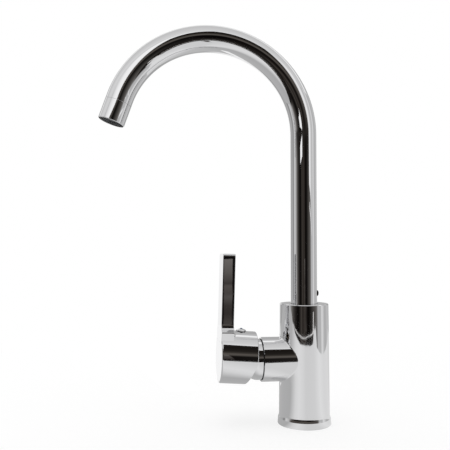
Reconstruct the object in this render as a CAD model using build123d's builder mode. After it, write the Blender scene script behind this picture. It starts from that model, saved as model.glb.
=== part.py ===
from build123d import *
import os
from math import cos, radians, sin, tan

# Three way filtered water tap, in millimetres.
# The origin is at the middle of the foot, on the worktop. +Z is up, and the
# swan neck, the side boss and the lever all point along -X.

os.makedirs("parts", exist_ok=True)

# ---------------------------------------------------------------- clearances
fit_gap = 0.02          # between curved faces that sit tight in each other
running_gap = 0.05      # round a piece that turns or slides in another
loose_gap = 0.15        # round a piece that drops into its place

# ---------------------------------------------------------------- tap body
body_rise = 54.1        # top of the barrel above the boss axis
body_top_radius = 24.0
body_foot_radius = 24.87
body_top_bevel = 0.6
boss_height = 62.7      # height of the boss axis above the worktop
boss_radius = 21.4
boss_reach = 43.9       # from the upright axis to the end of the boss
boss_blend = 1.2        # radius of the blend between boss and barrel
boss_end_bevel = 0.3

# ---------------------------------------------------------------- foot
ring_height = 11.0
ring_radius = 26.16
ring_top_land = 6.0     # height of the widest, nearly straight part
ring_land_radius = 25.8
ring_edge_round = 0.5
ring_wall = 1.35        # wall at its thin upper edge
flare_radius = 9.0      # hollow curve between the land and the upper edge
ring_lip = 2.2          # thickness of the lip that the body stands on
ring_opening = 20.0     # radius of the opening for hoses and stud
seal_inner = 21.3
seal_outer = 24.2
seal_thickness = 1.6

# ---------------------------------------------------------------- underside
cavity_radius = 18.0
cavity_depth = 5.8
hose_port_radius = 4.5  # M10 x 1
hose_port_depth = 14.0
hose_port_spacing = 9.5 # hot and cold, each side of the middle
filter_port_offset = 11.0
filter_port_depth = 12.5
stud_hole_radius = 3.4  # M8
stud_hole_depth = 15.0
stud_offset = 10.5

# ---------------------------------------------------------------- waterways
way_radius = 3.5        # upright drillings for hot, cold and filtered water
port_radius = 3.0       # drillings through the chamber floor and the discs
lower_port_offset = -6.0         # hot and cold, below the boss axis
upper_port_offset = 6.0         # mixed water, above the boss axis
filter_inlet_offset = -10.5       # filtered water in, below the boss axis
filter_outlet_offset = 10.0       # filtered water out, above the boss axis
mixed_way_offset = 3.0        # where the mixed water turns up, beside the middle

# ---------------------------------------------------------------- cartridge
chamber_depth = 35.9    # from the end of the boss to the chamber's floor
cartridge_radius = 17.5
base_thickness = 4.0
port_seal_section = 1.6
port_seal_wall = 1.6
locating_pin_radius = 1.8
locating_pin_length = 3.0
locating_pin_offset = 14.8
disc_radius = 15.0
disc_thickness = 3.5
moving_disc_radius = 13.0
moving_disc_thickness = 3.0
moving_disc_drop = 1.7  # at rest, below the boss axis
pocket_depth = 1.8
carrier_thickness = 4.9
carrier_socket_depth = 3.9  # depth of the narrow part of the ball socket
carrier_socket_mouth = 4.4
housing_length = 21.0
housing_top_wall = 3.0
guide_radius = 12.0
swivel_flange_radius = 14.9
swivel_flange_thickness = 5.0
swivel_length = 9.1
swivel_proud = 1.0          # how far it stands out of the housing
pocket_length = 17.0        # pocket that joins the ports, in the moving disc
pocket_width = 6.0

# ---------------------------------------------------------------- stem and pin
pivot_depth = 15.9      # stem pin, from the end of the boss
pin_radius = 1.25
pin_length = 24.0
stem_width = 8.0
ball_radius = 2.6
finger_radius = 1.8
slot_up = 6.0
slot_down = 7.0

# ---------------------------------------------------------------- retaining nut
nut_length = 6.5
nut_radius = 18.9
nut_bore = 12.6
nut_hex_length = 3.0
nut_hex_radius = 16.0

# ---------------------------------------------------------------- bezel ring
bezel_radius = 19.6
bezel_groove = 0.9      # width of the dark groove at the boss
bezel_land = 3.0        # straight length before the dome
bezel_length = 11.4     # from the end of the boss to the dome's front
bezel_front_radius = 17.2
bezel_bore = 15.8
bezel_skirt_length = 3.7    # inside the mouth of the boss
bezel_skirt_bore = 16.9
bezel_edge_round = 0.5

# ---------------------------------------------------------------- lever
cap_lean = 4.0          # the cap's outer end is raised at rest
blade_lean = 1.4        # the blade leans towards the neck at rest
cap_radius = 25.3
cap_wall = 1.5
cap_start = 22.6        # from the pin, along the cap's axis
cap_end = 57.1
cap_end_wall = 5.0
cap_edge_round = 1.4
cap_rim_round = 0.5     # open rim, towards the bezel ring
cut_height = -1.5       # where the slanted skirt cut begins, below the axis
cut_angle = 20.0
blade_width = 28.0
blade_thickness = 11.8
blade_top = 98.0        # above the cap's axis, at the outer face
blade_top_slope = 5.0
blade_edge_round = 1.2
blade_root_blend = 3.0
hub_start = 33.4
hub_radius = 8.0
hub_bore_end = 50.0
screw_reach = 37.05     # grub screw and index plug, from the pin
screw_radius = 2.4
screw_length = 5.0
screw_socket = 1.3

# ---------------------------------------------------------------- index plug
plug_radius = 4.85
plug_stem_radius = 3.4
plug_stem_length = 2.6
plug_seat = 0.7         # depth of its seat below the cap's top line
plug_rim = 0.8
plug_height = 3.7
dot_radius = 1.3
dot_thickness = 0.5

# ---------------------------------------------------------------- swan neck
tube_radius = 13.0
tube_wall = 1.0
arch_height = 285.1     # height of the middle of the arch
arch_radius = 93.75
bend_angle = 161.0
tube_tail = 4.5         # straight tube after the bend
tube_depth = 19.0       # lower end of the tube, above the socket's floor
inner_tube_radius = 4.0
inner_tube_wall = 1.0
inner_tube_depth = 5.5  # how far its foot enters the body

# ---------------------------------------------------------------- neck socket
socket_radius = 14.0
socket_floor_wall = 3.65    # metal between the cartridge chamber and the socket
glide_height = 5.0
glide_recess = 1.0      # top of the upper glide ring below the body's top
lower_glide_height = 3.0
lower_glide_wall = 1.75
connector_reach = 14.2  # top of the foot above the body
connector_bore = 6.5
oring_section = 1.0
oring_depth = 6.6       # lower O-ring, above the socket's floor
oring_spacing = 4.6
oring_groove_width = 2.4
clip_depth = 15.0       # clip, above the socket's floor
clip_thickness = 1.5
clip_reach = 0.9        # how far the clip enters the body's groove
clip_foot_depth = 0.9         # how far the clip enters the connector
clip_opening = 9.0
clip_groove_gap = 0.1
lock_screw_reach = 10.1 # screw's axis above the body
lock_screw_radius = 1.9
lock_head_radius = 3.0
lock_head_height = 2.0
lock_screw_length = 5.5
lock_flat = 0.3         # depth of the flat that the head sits on
lock_head_round = 1.4
lock_socket = 1.35      # across the corners' radius of its hexagon socket
lock_socket_depth = 1.2

# ---------------------------------------------------------------- outlet
collar_length = 20.3
collar_bore = 11.3
collar_edge_round = 0.6
collar_ledge = 1.0
collar_ledge_wall = 1.0
collar_recess = 1.1
seam_bevel = 0.3
bush_spigot = 8.0
bush_spigot_radius = 11.6
bush_bore = 9.5
washer_thickness = 2.0
insert_socket_depth = 2.5
spray_hole_radius = 1.1
spray_hole_count = 12
screen_thickness = 0.9
screen_hole_radius = 0.75
inner_screen_count = 12
inner_screen_radius = 6.3
outer_screen_count = 18
outer_screen_radius = 8.3
screen_nozzle_radius = 3.4

# ---------------------------------------------------------------- places along the boss, and planes
chamber_floor = boss_reach - chamber_depth
pivot_reach = boss_reach - pivot_depth
bezel_start = boss_reach + bezel_groove
bezel_front = boss_reach + bezel_length
bezel_skirt_start = boss_reach - bezel_skirt_length
boss_plane = Plane(origin=(0, 0, boss_height), x_dir=(0, -1, 0), z_dir=(-1, 0, 0))
boss_section = Plane(origin=(0, 0, boss_height), x_dir=(0, 0, 1), z_dir=(0, -1, 0))
boss_axis = Axis((0, 0, boss_height), (-1, 0, 0))
pivot = Vector(-pivot_reach, 0, boss_height)
cap_out = Vector(-cos(radians(cap_lean)), 0, sin(radians(cap_lean)))
cap_up = Vector(sin(radians(cap_lean)), 0, cos(radians(cap_lean)))
lever_plane = Plane(origin=pivot, x_dir=(0, -1, 0), z_dir=cap_out)
lever_side = Plane(origin=pivot, x_dir=cap_out, z_dir=(0, 1, 0))
lever_axis = Axis(pivot, cap_out)
end_point = pivot + cap_out * cap_end
blade_out = Vector(-cos(radians(blade_lean)), 0, sin(radians(blade_lean)))
end_plane = Plane(origin=end_point, x_dir=(0, -1, 0), z_dir=blade_out)
blade_foot = Plane(origin=end_point, x_dir=(0, -1, 0), z_dir=end_plane.y_dir)
screw_plane = Plane(origin=pivot + cap_out * screw_reach, x_dir=(0, 1, 0), z_dir=cap_up)


def ring(plane, inner, outer, start, length):
    """A plain ring or disc on the plane's own axis."""
    with BuildPart() as piece:
        with BuildSketch(plane.offset(start)):
            Circle(outer)
            if inner > 0:
                Circle(inner, mode=Mode.SUBTRACT)
        extrude(amount=length)
    return piece


# ================================================================ body castings
body_height = boss_height + body_rise
foot_radius = body_foot_radius - ring_wall
shoulder_radius = body_foot_radius - (body_foot_radius - body_top_radius) * ring_height / body_height
base_plane = Plane.XY.offset(ring_lip)
cavity_top = ring_lip + cavity_depth
hot_y = -hose_port_spacing
cold_y = hose_port_spacing
chamber_radius = cartridge_radius + loose_gap
socket_floor = boss_height + chamber_radius + socket_floor_wall
clip_height = socket_floor + clip_depth
neck_bore_radius = inner_tube_radius + running_gap
hot_port = (-hot_y, lower_port_offset)
cold_port = (-cold_y, lower_port_offset)
mixed_port = (-hot_y, upper_port_offset)
filter_inlet = (0, filter_inlet_offset)
filter_outlet = (0, filter_outlet_offset)
floor_ports = [hot_port, cold_port, mixed_port, filter_inlet, filter_outlet]
fixed_disc_start = chamber_floor + base_thickness
housing_end = fixed_disc_start + housing_length
nut_start = housing_end

# Cast and machined brass body: tapered barrel with the cartridge boss on its side.
with BuildPart() as tap_body:
    with BuildSketch(Plane.XZ):
        with BuildLine():
            Polyline(
                (0, ring_lip),
                (foot_radius, ring_lip),
                (foot_radius, ring_height),
                (shoulder_radius, ring_height),
                (body_top_radius, body_height),
                (0, body_height),
                close=True,
            )
        make_face()
    revolve(axis=Axis.Z)
    top_rim = tap_body.faces().sort_by(Axis.Z)[-1].edges()
    chamfer(top_rim, length=body_top_bevel)
    with BuildSketch(boss_plane):
        Circle(boss_radius)
    extrude(amount=boss_reach)
    end_rim = tap_body.faces().sort_by(Axis.X)[0].edges()
    chamfer(end_rim, length=boss_end_bevel)
    seam = tap_body.edges().filter_by(GeomType.BSPLINE)
    fillet(seam, radius=boss_blend)
    # chamber for the cartridge, with a wider threaded mouth for the nut
    with BuildSketch(boss_plane.offset(boss_reach)):
        Circle(chamber_radius)
    extrude(amount=chamber_floor - boss_reach, mode=Mode.SUBTRACT)
    with BuildSketch(boss_plane.offset(boss_reach)):
        Circle(nut_radius + fit_gap)
    extrude(amount=nut_start - boss_reach, mode=Mode.SUBTRACT)
    # socket for the neck, with the groove for its clip
    with BuildSketch(Plane.XY.offset(body_height)):
        Circle(socket_radius)
    extrude(amount=socket_floor - body_height, mode=Mode.SUBTRACT)
    with BuildSketch(Plane.XY.offset(clip_height - clip_groove_gap)):
        Circle(socket_radius + clip_reach + clip_groove_gap)
    extrude(amount=clip_thickness + 2 * clip_groove_gap, mode=Mode.SUBTRACT)
    # cavity in the underside, with the hose ports and the stud hole
    with BuildSketch(base_plane):
        Circle(cavity_radius)
    extrude(amount=cavity_depth, mode=Mode.SUBTRACT)
    with BuildSketch(Plane.XY.offset(cavity_top)):
        with Locations((0, hot_y), (0, cold_y)):
            Circle(hose_port_radius)
    extrude(amount=hose_port_depth, mode=Mode.SUBTRACT)
    with BuildSketch(Plane.XY.offset(cavity_top)):
        with Locations((filter_port_offset, 0)):
            Circle(hose_port_radius)
    extrude(amount=filter_port_depth, mode=Mode.SUBTRACT)
    with BuildSketch(Plane.XY.offset(cavity_top)):
        with Locations((-stud_offset, 0)):
            Circle(stud_hole_radius)
    extrude(amount=stud_hole_depth, mode=Mode.SUBTRACT)
    # upright drillings for hot and cold water
    with BuildSketch(Plane.XY.offset(cavity_top)):
        with Locations((0, hot_y), (0, cold_y)):
            Circle(way_radius)
    extrude(amount=boss_height + lower_port_offset - cavity_top, mode=Mode.SUBTRACT)
    with BuildSketch(Plane.XY.offset(cavity_top)):
        with Locations((filter_port_offset, 0)):
            Circle(way_radius)
    extrude(amount=boss_height + filter_inlet_offset - cavity_top, mode=Mode.SUBTRACT)
    # level drillings from the chamber floor
    with BuildSketch(boss_plane.offset(chamber_floor)):
        with Locations(hot_port, cold_port, filter_outlet):
            Circle(port_radius)
    extrude(amount=-chamber_floor, mode=Mode.SUBTRACT)
    with BuildSketch(boss_plane.offset(chamber_floor)):
        with Locations(filter_inlet):
            Circle(port_radius)
    extrude(amount=-chamber_floor - filter_port_offset, mode=Mode.SUBTRACT)
    with BuildSketch(boss_plane.offset(chamber_floor)):
        with Locations(mixed_port):
            Circle(port_radius)
    extrude(amount=mixed_way_offset - chamber_floor, mode=Mode.SUBTRACT)
    # mixed water rises beside the middle, filtered water in the middle
    with BuildSketch(Plane.XY.offset(boss_height + upper_port_offset)):
        with Locations((-mixed_way_offset, hot_y)):
            Circle(port_radius)
    extrude(amount=socket_floor - boss_height - upper_port_offset, mode=Mode.SUBTRACT)
    with BuildSketch(Plane.XY.offset(boss_height + filter_outlet_offset)):
        Circle(port_radius)
    extrude(amount=socket_floor - boss_height - filter_outlet_offset, mode=Mode.SUBTRACT)
    with BuildSketch(Plane.XY.offset(socket_floor)):
        Circle(neck_bore_radius)
    extrude(amount=-inner_tube_depth - loose_gap, mode=Mode.SUBTRACT)
    # holes for the cartridge's two locating pins
    with BuildSketch(boss_plane.offset(chamber_floor)):
        with Locations((-locating_pin_offset, 0), (locating_pin_offset, 0)):
            Circle(locating_pin_radius + loose_gap)
    extrude(amount=-locating_pin_length - loose_gap, mode=Mode.SUBTRACT)
tap_body.part.label = "tap_body"
export_step(tap_body.part, "parts/tap_body.step")

# Flared ring that the barrel stands in; its lip carries the body.
with BuildPart() as base_ring:
    with BuildSketch(Plane.XZ):
        with BuildLine():
            Line((ring_opening, 0), (ring_radius, 0))
            Line((ring_radius, 0), (ring_land_radius, ring_top_land))
            RadiusArc((ring_land_radius, ring_top_land), (shoulder_radius, ring_height), flare_radius)
            Polyline(
                (shoulder_radius, ring_height),
                (foot_radius + fit_gap, ring_height),
                (foot_radius + fit_gap, ring_lip),
                (ring_opening, ring_lip),
                (ring_opening, 0),
            )
        make_face()
    revolve(axis=Axis.Z)
    bottom_rim = base_ring.edges().filter_by(GeomType.CIRCLE).sort_by(SortBy.RADIUS)[-1]
    fillet(bottom_rim, radius=ring_edge_round)
    with BuildSketch(Plane.XY):
        Circle(seal_outer)
        Circle(seal_inner, mode=Mode.SUBTRACT)
    extrude(amount=seal_thickness, mode=Mode.SUBTRACT)
base_ring.part.label = "base_ring"
export_step(base_ring.part, "parts/base_ring.step")

# Rubber seal in the underside of the ring, flush with the worktop.
base_seal = ring(Plane.XY, seal_inner + fit_gap, seal_outer - fit_gap, 0, seal_thickness)
base_seal.part.label = "base_seal"
export_step(base_seal.part, "parts/base_seal.step")


# ================================================================ cartridge
moving_disc_start = fixed_disc_start + disc_thickness + running_gap
carrier_start = moving_disc_start + moving_disc_thickness
housing_inner = disc_radius + loose_gap
ball_reach = (pivot_reach - carrier_start - ball_radius - loose_gap) / cos(radians(cap_lean))
ball_drop = -ball_reach * sin(radians(cap_lean))
swivel_end = housing_end + swivel_proud
swivel_start = swivel_end - swivel_length
seal_pocket_radius = port_radius + port_seal_wall + loose_gap

# Nylon base of the cartridge, pinned to the chamber floor.
with BuildPart() as cartridge_base:
    with BuildSketch(boss_plane.offset(chamber_floor)):
        Circle(cartridge_radius)
        with Locations(*floor_ports):
            Circle(port_radius, mode=Mode.SUBTRACT)
    extrude(amount=base_thickness)
    with BuildSketch(boss_plane.offset(chamber_floor)):
        with Locations(*floor_ports):
            Circle(seal_pocket_radius)
    extrude(amount=port_seal_section, mode=Mode.SUBTRACT)
    with BuildSketch(boss_plane.offset(chamber_floor)):
        with Locations((-locating_pin_offset, 0), (locating_pin_offset, 0)):
            Circle(locating_pin_radius)
    extrude(amount=-locating_pin_length)
cartridge_base.part.label = "cartridge_base"
export_step(cartridge_base.part, "parts/cartridge_base.step")

# Five rubber rings that seal the ports to the chamber floor.
with BuildPart() as cartridge_seals:
    with BuildSketch(boss_plane.offset(chamber_floor)):
        with Locations(*floor_ports):
            Circle(port_radius + port_seal_wall)
            Circle(port_radius, mode=Mode.SUBTRACT)
    extrude(amount=port_seal_section)
cartridge_seals.part.label = "cartridge_seals"
export_step(cartridge_seals.part, "parts/cartridge_seals.step")

# Fixed ceramic disc with its five ports.
with BuildPart() as fixed_disc:
    with BuildSketch(boss_plane.offset(fixed_disc_start)):
        Circle(disc_radius)
        with Locations(*floor_ports):
            Circle(port_radius, mode=Mode.SUBTRACT)
    extrude(amount=disc_thickness)
fixed_disc.part.label = "fixed_disc"
export_step(fixed_disc.part, "parts/fixed_disc.step")

# Moving ceramic disc: a blind pocket on its sealing face joins the ports.
with BuildPart() as moving_disc:
    with BuildSketch(boss_plane.offset(moving_disc_start)):
        with Locations((0, -moving_disc_drop)):
            Circle(moving_disc_radius)
    extrude(amount=moving_disc_thickness)
    with BuildSketch(boss_plane.offset(moving_disc_start)):
        with Locations((0, -moving_disc_drop)):
            SlotOverall(pocket_length, pocket_width)
    extrude(amount=pocket_depth, mode=Mode.SUBTRACT)
moving_disc.part.label = "moving_disc"
export_step(moving_disc.part, "parts/moving_disc.step")

# Nylon carrier glued to the moving disc, with the socket for the stem's ball.
with BuildPart() as disc_carrier:
    with BuildSketch(boss_plane.offset(carrier_start)):
        with Locations((0, -moving_disc_drop)):
            Circle(moving_disc_radius)
        with Locations((0, ball_drop)):
            Circle(ball_radius + loose_gap, mode=Mode.SUBTRACT)
    extrude(amount=carrier_thickness)
    with BuildSketch(boss_plane.offset(carrier_start + carrier_socket_depth)):
        with Locations((0, ball_drop)):
            Circle(carrier_socket_mouth)
    extrude(amount=carrier_thickness - carrier_socket_depth, mode=Mode.SUBTRACT)
disc_carrier.part.label = "disc_carrier"
export_step(disc_carrier.part, "parts/disc_carrier.step")

# Nylon housing, open to the base and closed by a wall with the guide bore.
with BuildPart() as cartridge_housing:
    with BuildSketch(boss_plane.offset(fixed_disc_start)):
        Circle(cartridge_radius)
        Circle(housing_inner, mode=Mode.SUBTRACT)
    extrude(amount=housing_length)
    with BuildSketch(boss_plane.offset(housing_end)):
        Circle(cartridge_radius)
        Circle(guide_radius, mode=Mode.SUBTRACT)
    extrude(amount=-housing_top_wall)
cartridge_housing.part.label = "cartridge_housing"
export_step(cartridge_housing.part, "parts/cartridge_housing.step")

# Stem carrier that turns in the guide bore and holds the stem on its pin.
with BuildPart() as stem_carrier:
    with BuildSketch(boss_plane.offset(swivel_start)):
        Circle(swivel_flange_radius)
    extrude(amount=swivel_flange_thickness)
    with BuildSketch(boss_plane.offset(swivel_start)):
        Circle(guide_radius - running_gap)
    extrude(amount=swivel_length)
    with BuildSketch(boss_plane.offset(swivel_start)):
        with Locations((0, (slot_up - slot_down) / 2)):
            Rectangle(stem_width + 2 * loose_gap, slot_up + slot_down)
    extrude(amount=swivel_length, mode=Mode.SUBTRACT)
    with BuildSketch(lever_side):
        Circle(pin_radius + fit_gap)
    extrude(amount=swivel_flange_radius, both=True, mode=Mode.SUBTRACT)
stem_carrier.part.label = "stem_carrier"
export_step(stem_carrier.part, "parts/stem_carrier.step")

# Steel pin across the stem carrier.
with BuildPart() as stem_pin:
    with BuildSketch(lever_side):
        Circle(pin_radius)
    extrude(amount=pin_length / 2, both=True)
stem_pin.part.label = "stem_pin"
export_step(stem_pin.part, "parts/stem_pin.step")

# Brass nut that clamps the cartridge in the boss.
with BuildPart() as retaining_nut:
    with BuildSketch(boss_plane.offset(nut_start)):
        Circle(nut_radius)
        Circle(nut_bore, mode=Mode.SUBTRACT)
    extrude(amount=nut_length)
    with BuildSketch(boss_plane.offset(nut_start + nut_length)):
        RegularPolygon(nut_hex_radius, 6)
        Circle(nut_bore, mode=Mode.SUBTRACT)
    extrude(amount=nut_hex_length)
retaining_nut.part.label = "retaining_nut"
export_step(retaining_nut.part, "parts/retaining_nut.step")

# Chromed ring screwed into the mouth of the boss; its dome fills the lever cap.
with BuildPart() as bezel_ring:
    with BuildSketch(boss_section):
        with BuildLine():
            Polyline(
                (bezel_skirt_bore, bezel_skirt_start),
                (nut_radius, bezel_skirt_start),
                (nut_radius, bezel_start),
                (bezel_radius, bezel_start),
                (bezel_radius, bezel_start + bezel_land),
            )
            dome_foot = (bezel_radius, bezel_start + bezel_land)
            TangentArc(dome_foot, (bezel_front_radius, bezel_front), tangent=(0, 1))
            Polyline(
                (bezel_front_radius, bezel_front),
                (bezel_bore, bezel_front),
                (bezel_bore, boss_reach),
                (bezel_skirt_bore, boss_reach),
                (bezel_skirt_bore, bezel_skirt_start),
            )
        make_face()
    revolve(axis=boss_axis)
    front_rim = bezel_ring.faces().sort_by(Axis.X)[0].outer_wire().edges()
    fillet(front_rim, radius=bezel_edge_round)
bezel_ring.part.label = "bezel_ring"
export_step(bezel_ring.part, "parts/bezel_ring.step")


# ================================================================ lever
cap_bore = cap_radius - cap_wall
cap_inner_end = cap_end - cap_end_wall
skirt_depth = cap_radius + cap_edge_round
skirt_run = (skirt_depth + cut_height) * tan(radians(cut_angle))
root_top = cap_radius + blade_root_blend
root_reach = cap_end - blade_thickness + root_top * tan(radians(cap_lean - blade_lean))
screw_tip = stem_width / 2 + running_gap
stem_length = hub_bore_end - loose_gap
blade_cut = Plane(
    origin=end_point + end_plane.y_dir * blade_top,
    x_dir=(0, -1, 0),
    z_dir=end_plane.y_dir.rotate(Axis.Y, -blade_top_slope),
)
plug_base = cap_radius - plug_seat

# Hollow blend where the blade's inner face rises from the top of the cap.
with BuildPart() as blade_root:
    with BuildSketch(lever_side):
        with BuildLine():
            Polyline(
                (root_reach - blade_root_blend, cap_radius),
                (root_reach - blade_root_blend, cap_bore),
                (cap_end - cap_edge_round, cap_bore),
                (cap_end - cap_edge_round, root_top),
                (root_reach, root_top),
            )
            RadiusArc((root_reach, root_top), (root_reach - blade_root_blend, cap_radius), blade_root_blend)
        make_face()
    revolve(axis=lever_axis)
    with BuildSketch(blade_foot):
        with Locations((0, blade_thickness)):
            Rectangle(blade_width, 2 * blade_thickness)
    extrude(amount=root_top + blade_root_blend, mode=Mode.INTERSECT)

# Cast handle: a cap over the bezel with an upright blade across its end.
with BuildPart() as lever_handle:
    with BuildSketch(lever_plane.offset(cap_start)):
        Circle(cap_radius)
    extrude(amount=cap_end - cap_start + cap_radius)
    split(bisect_by=end_plane, keep=Keep.BOTTOM)
    fillet(lever_handle.faces().sort_by(Axis.X)[0].edges(), radius=cap_edge_round)
    fillet(lever_handle.faces().sort_by(Axis.X)[-1].edges(), radius=cap_rim_round)
    with BuildSketch(blade_foot):
        with Locations((0, blade_thickness / 2)):
            RectangleRounded(blade_width, blade_thickness, blade_edge_round)
    extrude(amount=blade_top)
    split(bisect_by=blade_cut, keep=Keep.BOTTOM)
    top_edges = lever_handle.faces().sort_by(Axis.Z)[-1].edges()
    fillet(top_edges, radius=blade_edge_round)
    add(blade_root.part)
    # hollow under the cap, with the slanted skirt cut on its lower side
    with BuildSketch(lever_plane.offset(cap_start)):
        Circle(cap_bore)
    extrude(amount=cap_inner_end - cap_start, mode=Mode.SUBTRACT)
    with BuildSketch(lever_side):
        with BuildLine():
            Polyline(
                (cap_start - cap_wall, cut_height),
                (cap_start, cut_height),
                (cap_start + skirt_run, -skirt_depth),
                (cap_start - cap_wall, -skirt_depth),
                close=True,
            )
        make_face()
    extrude(amount=cap_radius + cap_wall, both=True, mode=Mode.SUBTRACT)
    # hub with the square hole for the stem, and the hole for its grub screw
    with BuildSketch(lever_plane.offset(hub_start)):
        Circle(hub_radius)
    extrude(amount=cap_inner_end - hub_start)
    with BuildSketch(lever_plane.offset(hub_start)):
        Rectangle(stem_width + 2 * running_gap, stem_width + 2 * running_gap)
    extrude(amount=hub_bore_end - hub_start, mode=Mode.SUBTRACT)
    with BuildSketch(screw_plane):
        Circle(screw_radius + fit_gap)
    extrude(amount=hub_radius + cap_wall, mode=Mode.SUBTRACT)
    with BuildSketch(screw_plane.offset(hub_radius + cap_wall)):
        Circle(plug_stem_radius + fit_gap)
    extrude(amount=cap_radius, mode=Mode.SUBTRACT)
    with BuildSketch(screw_plane.offset(plug_base)):
        Circle(plug_radius + loose_gap)
    extrude(amount=cap_radius, mode=Mode.SUBTRACT)
lever_handle.part.label = "lever_handle"
export_step(lever_handle.part, "parts/lever_handle.step")

# Steel stem: square bar, round end on the pin, finger and ball for the disc.
with BuildPart() as lever_stem:
    with BuildSketch(lever_side):
        Circle(stem_width / 2)
        with Locations((stem_length / 2, 0)):
            Rectangle(stem_length, stem_width)
    extrude(amount=stem_width / 2, both=True)
    with BuildSketch(lever_plane):
        Circle(finger_radius)
    extrude(amount=-ball_reach)
    with Locations(pivot - cap_out * ball_reach):
        Sphere(ball_radius)
    with BuildSketch(lever_side):
        Circle(pin_radius + running_gap)
    extrude(amount=stem_width, both=True, mode=Mode.SUBTRACT)
lever_stem.part.label = "lever_stem"
export_step(lever_stem.part, "parts/lever_stem.step")

# Grub screw that clamps the handle to the stem, with its hexagon socket.
with BuildPart() as handle_screw:
    with BuildSketch(screw_plane.offset(screw_tip)):
        Circle(screw_radius)
    extrude(amount=screw_length)
    with BuildSketch(screw_plane.offset(screw_tip + screw_length)):
        RegularPolygon(screw_socket, 6)
    extrude(amount=-screw_length / 2, mode=Mode.SUBTRACT)
handle_screw.part.label = "handle_screw"
export_step(handle_screw.part, "parts/handle_screw.step")

# Domed plug that covers the screw hole, with a small round inlay.
dome_rise = plug_height - plug_rim
dome_radius = (plug_radius**2 + dome_rise**2) / (2 * dome_rise)
plug_section = Plane(origin=screw_plane.origin, x_dir=(0, 1, 0), z_dir=cap_out * -1)
with BuildPart() as index_plug:
    with BuildSketch(plug_section):
        with BuildLine():
            Line((0, plug_base + plug_height), (0, plug_base - plug_stem_length))
            Polyline(
                (0, plug_base - plug_stem_length),
                (plug_stem_radius, plug_base - plug_stem_length),
                (plug_stem_radius, plug_base),
                (plug_radius, plug_base),
                (plug_radius, plug_base + plug_rim),
            )
            RadiusArc((plug_radius, plug_base + plug_rim), (0, plug_base + plug_height), -dome_radius)
        make_face()
    revolve(axis=Axis(screw_plane.origin, cap_up))
    with BuildSketch(screw_plane.offset(plug_base + plug_height)):
        Circle(dot_radius)
    extrude(amount=-dot_thickness, mode=Mode.SUBTRACT)
index_plug.part.label = "index_plug"
export_step(index_plug.part, "parts/index_plug.step")

# Muted blue enamel inlay, nearly flush with the top of the plug.
dot_start = plug_base + plug_height - dot_thickness
dot_sag = dome_radius - (dome_radius**2 - dot_radius**2) ** 0.5
index_dot = ring(screw_plane, 0, dot_radius - fit_gap, dot_start, dot_thickness - dot_sag)
index_dot.part.label = "index_dot"
export_step(index_dot.part, "parts/index_dot.step")


# ================================================================ swan neck
connector_bottom = socket_floor + lower_glide_height + running_gap
connector_top = body_height + connector_reach
tube_bottom = socket_floor + tube_depth
oring_heights = (socket_floor + oring_depth, socket_floor + oring_depth + oring_spacing)
oring_radius = socket_radius - running_gap - oring_section
groove_radius = oring_radius - oring_section - fit_gap
clip_inner = tube_radius - clip_foot_depth
tube_bore = tube_radius - tube_wall
bend_end = Vector(
    -arch_radius + arch_radius * cos(radians(bend_angle)),
    0,
    arch_height + arch_radius * sin(radians(bend_angle)),
)
outlet_down = Vector(-sin(radians(bend_angle)), 0, cos(radians(bend_angle)))
tube_end = bend_end + outlet_down * tube_tail
outlet_plane = Plane(origin=tube_end, x_dir=(0, 1, 0), z_dir=outlet_down)
outlet_section = Plane(origin=tube_end, x_dir=(0, 1, 0), z_dir=Vector(0, 1, 0).cross(outlet_down))
outlet_axis = Axis(tube_end, outlet_down)
bush_inside = tube_tail - loose_gap
lock_screw_height = body_height + lock_screw_reach
lock_plane = Plane(origin=(0, 0, lock_screw_height), x_dir=(0, 1, 0), z_dir=(1, 0, 0))
lock_seat = tube_radius - lock_flat
insert_start = bush_spigot + washer_thickness
ledge_end = collar_length - collar_recess
insert_length = ledge_end - collar_ledge - screen_thickness - loose_gap - insert_start
spray_circle = (collar_bore + inner_tube_radius) / 2

# Chromed brass tube of the neck, with the hole and flat for its lock screw.
with BuildPart() as spout_tube:
    with BuildLine(Plane.XZ):
        Line((0, tube_bottom), (0, arch_height))
        arch = CenterArc((-arch_radius, arch_height), arch_radius, 0, bend_angle)
        PolarLine(arch @ 1, tube_tail, direction=arch % 1)
    with BuildSketch(Plane.XY.offset(tube_bottom)):
        Circle(tube_radius)
        Circle(tube_bore, mode=Mode.SUBTRACT)
    sweep()
    with BuildSketch(lock_plane):
        Circle(lock_screw_radius + loose_gap)
    extrude(amount=tube_radius, mode=Mode.SUBTRACT)
    with BuildSketch(lock_plane.offset(lock_seat)):
        Circle(lock_head_radius + loose_gap)
    extrude(amount=tube_radius, mode=Mode.SUBTRACT)
    chamfer(spout_tube.faces().sort_by(Axis.X)[0].outer_wire().edges(), length=seam_bevel)
spout_tube.part.label = "spout_tube"
export_step(spout_tube.part, "parts/spout_tube.step")

# Inner tube for the filtered water, from the body's middle bore to the aerator.
with BuildPart() as filtered_water_tube:
    with BuildLine(Plane.XZ):
        Line((0, socket_floor - inner_tube_depth), (0, arch_height))
        arch = CenterArc((-arch_radius, arch_height), arch_radius, 0, bend_angle)
        PolarLine(arch @ 1, tube_tail + insert_start + insert_socket_depth, direction=arch % 1)
    with BuildSketch(Plane.XY.offset(socket_floor - inner_tube_depth)):
        Circle(inner_tube_radius)
        Circle(inner_tube_radius - inner_tube_wall, mode=Mode.SUBTRACT)
    sweep()
filtered_water_tube.part.label = "filtered_water_tube"
export_step(filtered_water_tube.part, "parts/filtered_water_tube.step")

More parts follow.
